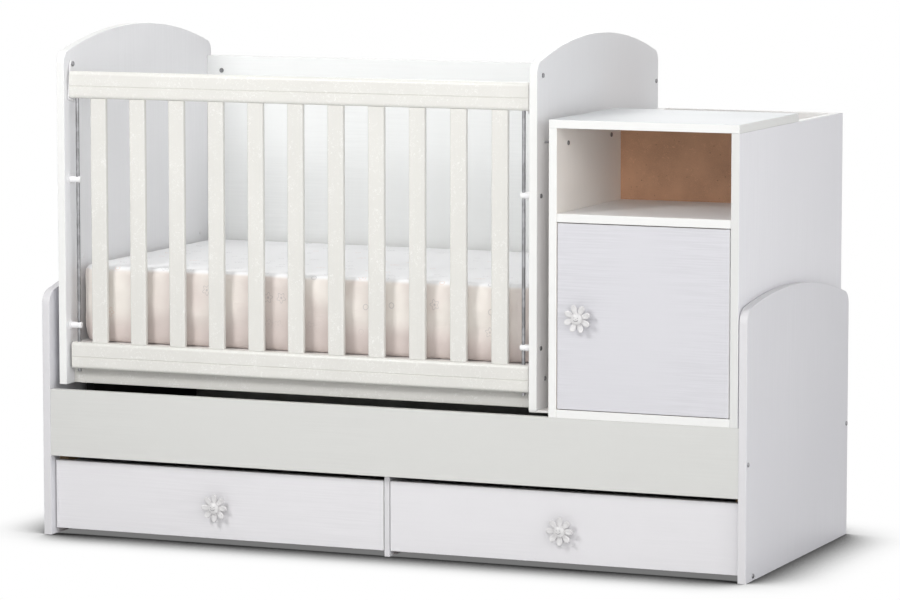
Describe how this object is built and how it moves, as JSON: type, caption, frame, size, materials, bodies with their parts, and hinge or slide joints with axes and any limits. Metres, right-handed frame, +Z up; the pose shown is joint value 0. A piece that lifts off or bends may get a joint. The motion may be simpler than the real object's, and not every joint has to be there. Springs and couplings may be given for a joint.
{
  "type": "convertible crib",
  "caption": "Convertible crib: slatted drop side between arched end panels, mattress, and a cupboard with a door and open niche, on a long bed base with drawers.",
  "frame": {"origin": "on the floor, at the middle of the footprint, knobs included", "axes": "+X along the length towards the cupboard, +Y from the drop side to the back, +Z up"},
  "size_m": [1.655, 0.792, 1.123],
  "materials": {
    "white_board": "bluish white foil on pressed board, satin",
    "matte_board": "warm white foil on pressed board, matte",
    "lacquered_wood": "warm white lacquer with a fine pearly fleck",
    "hardboard": "brown pressed hardboard",
    "raw_wood": "bare softwood",
    "steel": "zinc-plated steel",
    "white_plastic": "moulded white plastic",
    "mattress_cloth": "woven cotton sheet over foam"
  },
  "bodies": {
    "frame": {"base_left_end": "white_board", "base_right_end": "white_board", "base_front_panel": "matte_board", "base_back_panel": "matte_board", "base_deck": "hardboard", "deck_cleats": "raw_wood", "drawer_divider": "white_board", "drawer_runners": "raw_wood", "crib_bearer_left": "raw_wood", "crib_bearer_right": "raw_wood", "gap_cover": "white_board", "crib_left_end": "white_board", "crib_right_end": "white_board", "crib_back_panel": "white_board", "crib_apron": "matte_board", "mattress_base": "white_board", "mattress_cleats": "raw_wood", "mattress": "mattress_cloth", "guide_pegs": "white_plastic", "catch_pivots": "steel", "barrel_nuts": "steel", "height_plugs": "white_plastic", "cabinet_left_side": "white_board", "cabinet_right_side": "white_board", "cabinet_top": "white_board", "cabinet_shelf": "white_board", "cabinet_bottom": "white_board", "cabinet_divider": "hardboard", "cabinet_rear_panel": "white_board", "cabinet_screws": "steel", "panel_screws": "steel"},
    "drop_side": {"top_rail": "lacquered_wood", "lower_rail": "lacquered_wood", "guide_rods": "steel", "slat_01": "lacquered_wood", "slat_02": "lacquered_wood", "slat_03": "lacquered_wood", "slat_04": "lacquered_wood", "slat_05": "lacquered_wood", "slat_06": "lacquered_wood", "slat_07": "lacquered_wood", "slat_08": "lacquered_wood", "slat_09": "lacquered_wood", "slat_10": "lacquered_wood", "slat_11": "lacquered_wood"},
    "catch_left_body": {"catch_left": "white_plastic"},
    "catch_right_body": {"catch_right": "white_plastic"},
    "door": {"cabinet_door": "white_board", "door_pins": "steel", "door_knob": "white_plastic"},
    "drawer_left": {"drawer_left_face": "white_board", "drawer_left_sides": "white_board", "drawer_left_back": "white_board", "drawer_left_bottom": "hardboard", "drawer_left_knob": "white_plastic"},
    "drawer_right": {"drawer_right_face": "white_board", "drawer_right_sides": "white_board", "drawer_right_back": "white_board", "drawer_right_bottom": "hardboard", "drawer_right_knob": "white_plastic"}
  },
  "joints": [
    {"name": "drop_slide", "type": "slide", "parent": "frame", "child": "drop_side", "axis": [0, 0, -1], "range_m": [0, 0.17]},
    {"name": "catch_left_swing", "type": "hinge", "parent": "frame", "child": "catch_left_body", "pos_m": [-0.7735, -0.317, 1.048], "axis": [1, 0, 0], "range_deg": [0, 60]},
    {"name": "catch_right_swing", "type": "hinge", "parent": "frame", "child": "catch_right_body", "pos_m": [0.3265, -0.317, 1.048], "axis": [1, 0, 0], "range_deg": [0, 60]},
    {"name": "door_hinge", "type": "hinge", "parent": "frame", "child": "door", "pos_m": [0.779, -0.364, 0.544], "axis": [0, 0, 1], "range_deg": [0, 95]},
    {"name": "drawer_left_slide", "type": "slide", "parent": "frame", "child": "drawer_left", "axis": [0, -1, 0], "range_m": [0, 0.4]},
    {"name": "drawer_right_slide", "type": "slide", "parent": "frame", "child": "drawer_right", "axis": [0, -1, 0], "range_m": [0, 0.4]}
  ],
  "couplings": [
    {"joint": "catch_left_swing", "follows": "drop_slide", "rad_per_m": 6.15},
    {"joint": "catch_right_swing", "follows": "drop_slide", "rad_per_m": 6.15}
  ]
}
